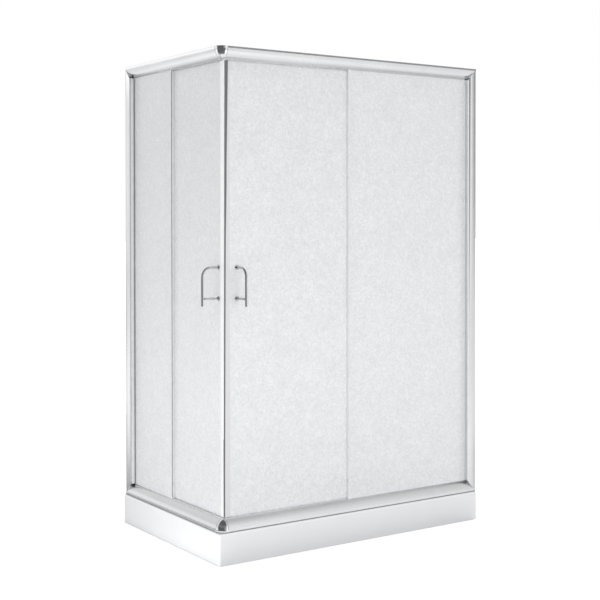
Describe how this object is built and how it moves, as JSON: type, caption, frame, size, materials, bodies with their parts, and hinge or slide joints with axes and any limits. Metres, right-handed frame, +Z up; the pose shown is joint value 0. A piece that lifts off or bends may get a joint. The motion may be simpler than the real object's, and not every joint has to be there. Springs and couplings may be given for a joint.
{
  "type": "shower cabin",
  "caption": "Corner shower cabin with a low tray and a sliding glass door in each of its glazed sides.",
  "frame": {"origin": "centre of the object's box on the floor", "axes": "+Z up; the long glazed side faces -Y and the short glazed side faces -X; the walls stand at +X and +Y"},
  "size_m": [1.2258, 0.8258, 1.85],
  "materials": {
    "white_acrylic": "glossy white moulded sheet",
    "satin_silver": "satin anodised extrusion",
    "polished_chrome": "mirror polished",
    "patterned_glass": "tempered glass with a fine crinkled pattern",
    "clear_strip": "translucent soft strip",
    "magnet_strip": "pale strip with a magnet core",
    "plated_steel": "zinc plated",
    "black_rubber": "matt rubber",
    "grey_nylon": "moulded nylon",
    "white_nylon": "turned nylon",
    "sealed_board": "sealed particle board"
  },
  "bodies": {
    "root": {"tray": "white_acrylic", "tray_board": "sealed_board", "tray_support_tubes": "plated_steel", "leg_rods": "plated_steel", "foot_pads": "grey_nylon", "leg_nuts": "plated_steel", "drain_trap": "white_nylon", "drain_flange": "polished_chrome", "drain_seal": "black_rubber", "long_wall_channel": "satin_silver", "short_wall_channel": "satin_silver", "long_wall_post": "satin_silver", "short_wall_post": "satin_silver", "long_top_rail": "satin_silver", "short_top_rail": "satin_silver", "long_bottom_rail": "satin_silver", "short_bottom_rail": "satin_silver", "top_corner_connector": "polished_chrome", "bottom_corner_connector": "polished_chrome", "frame_screws": "plated_steel", "door_stops": "black_rubber", "long_fixed_glass": "patterned_glass", "short_fixed_glass": "patterned_glass", "glass_gaskets": "clear_strip", "fixed_edge_seals": "clear_strip"},
    "drain_cover": {"drain_cover": "polished_chrome", "hair_basket": "grey_nylon"},
    "long_door": {"long_door_glass": "patterned_glass", "long_magnet_seal": "magnet_strip", "long_overlap_seal": "clear_strip", "long_handle_bar": "polished_chrome", "long_handle_fixings": "polished_chrome", "long_top_hangers": "plated_steel", "long_bottom_guides": "grey_nylon", "long_front_spring": "plated_steel", "long_rear_spring": "plated_steel"},
    "long_front_carrier": {"long_front_carrier": "grey_nylon"},
    "long_front_top_wheel": {"long_front_top_wheel": "white_nylon"},
    "long_front_bottom_wheel": {"long_front_bottom_wheel": "white_nylon"},
    "long_rear_carrier": {"long_rear_carrier": "grey_nylon"},
    "long_rear_top_wheel": {"long_rear_top_wheel": "white_nylon"},
    "long_rear_bottom_wheel": {"long_rear_bottom_wheel": "white_nylon"},
    "short_door": {"short_door_glass": "patterned_glass", "short_magnet_seal": "magnet_strip", "short_overlap_seal": "clear_strip", "short_handle_bar": "polished_chrome", "short_handle_fixings": "polished_chrome", "short_top_hangers": "plated_steel", "short_bottom_guides": "grey_nylon", "short_front_spring": "plated_steel", "short_rear_spring": "plated_steel"},
    "short_front_carrier": {"short_front_carrier": "grey_nylon"},
    "short_front_top_wheel": {"short_front_top_wheel": "white_nylon"},
    "short_front_bottom_wheel": {"short_front_bottom_wheel": "white_nylon"},
    "short_rear_carrier": {"short_rear_carrier": "grey_nylon"},
    "short_rear_top_wheel": {"short_rear_top_wheel": "white_nylon"},
    "short_rear_bottom_wheel": {"short_rear_bottom_wheel": "white_nylon"}
  },
  "joints": [
    {"name": "drain_cover_lift", "type": "slide", "parent": "root", "child": "drain_cover", "axis": [0, 0, 1], "range_m": [0, 0.06]},
    {"name": "long_door_slide", "type": "slide", "parent": "root", "child": "long_door", "axis": [1, 0, 0], "range_m": [0, 0.47]},
    {"name": "long_front_button_press", "type": "slide", "parent": "long_door", "child": "long_front_carrier", "axis": [0, 0, -1], "range_m": [0, 0.006], "stiffness_N_per_m": 400, "springref_m": -0.004, "deforming": ["long_front_spring"]},
    {"name": "long_front_top_wheel_spin", "type": "hinge", "parent": "long_door", "child": "long_front_top_wheel", "pos_m": [-0.44712, -0.32393, 1.829], "axis": [0, 1, 0], "continuous": true},
    {"name": "long_front_bottom_wheel_spin", "type": "hinge", "parent": "long_front_carrier", "child": "long_front_bottom_wheel", "pos_m": [-0.44712, -0.32393, 0.137], "axis": [0, 1, 0], "continuous": true},
    {"name": "long_rear_button_press", "type": "slide", "parent": "long_door", "child": "long_rear_carrier", "axis": [0, 0, -1], "range_m": [0, 0.006], "stiffness_N_per_m": 400, "springref_m": -0.004, "deforming": ["long_rear_spring"]},
    {"name": "long_rear_top_wheel_spin", "type": "hinge", "parent": "long_door", "child": "long_rear_top_wheel", "pos_m": [-0.05013, -0.32393, 1.829], "axis": [0, 1, 0], "continuous": true},
    {"name": "long_rear_bottom_wheel_spin", "type": "hinge", "parent": "long_rear_carrier", "child": "long_rear_bottom_wheel", "pos_m": [-0.05013, -0.32393, 0.137], "axis": [0, 1, 0], "continuous": true},
    {"name": "short_door_slide", "type": "slide", "parent": "root", "child": "short_door", "axis": [0, 1, 0], "range_m": [0, 0.28]},
    {"name": "short_front_button_press", "type": "slide", "parent": "short_door", "child": "short_front_carrier", "axis": [0, 0, -1], "range_m": [0, 0.006], "stiffness_N_per_m": 400, "springref_m": -0.004, "deforming": ["short_front_spring"]},
    {"name": "short_front_top_wheel_spin", "type": "hinge", "parent": "short_door", "child": "short_front_top_wheel", "pos_m": [-0.52392, -0.24713, 1.829], "axis": [1, 0, 0], "continuous": true},
    {"name": "short_front_bottom_wheel_spin", "type": "hinge", "parent": "short_front_carrier", "child": "short_front_bottom_wheel", "pos_m": [-0.52392, -0.24713, 0.137], "axis": [1, 0, 0], "continuous": true},
    {"name": "short_rear_button_press", "type": "slide", "parent": "short_door", "child": "short_rear_carrier", "axis": [0, 0, -1], "range_m": [0, 0.006], "stiffness_N_per_m": 400, "springref_m": -0.004, "deforming": ["short_rear_spring"]},
    {"name": "short_rear_top_wheel_spin", "type": "hinge", "parent": "short_door", "child": "short_rear_top_wheel", "pos_m": [-0.52392, 0.00187, 1.829], "axis": [1, 0, 0], "continuous": true},
    {"name": "short_rear_bottom_wheel_spin", "type": "hinge", "parent": "short_rear_carrier", "child": "short_rear_bottom_wheel", "pos_m": [-0.52392, 0.00187, 0.137], "axis": [1, 0, 0], "continuous": true}
  ],
  "couplings": [
    {"joint": "long_front_top_wheel_spin", "follows": "long_door_slide", "rad_per_m": 100},
    {"joint": "long_front_bottom_wheel_spin", "follows": "long_door_slide", "rad_per_m": -100},
    {"joint": "long_rear_top_wheel_spin", "follows": "long_door_slide", "rad_per_m": 100},
    {"joint": "long_rear_bottom_wheel_spin", "follows": "long_door_slide", "rad_per_m": -100},
    {"joint": "short_front_top_wheel_spin", "follows": "short_door_slide", "rad_per_m": -100},
    {"joint": "short_front_bottom_wheel_spin", "follows": "short_door_slide", "rad_per_m": 100},
    {"joint": "short_rear_top_wheel_spin", "follows": "short_door_slide", "rad_per_m": -100},
    {"joint": "short_rear_bottom_wheel_spin", "follows": "short_door_slide", "rad_per_m": 100}
  ]
}
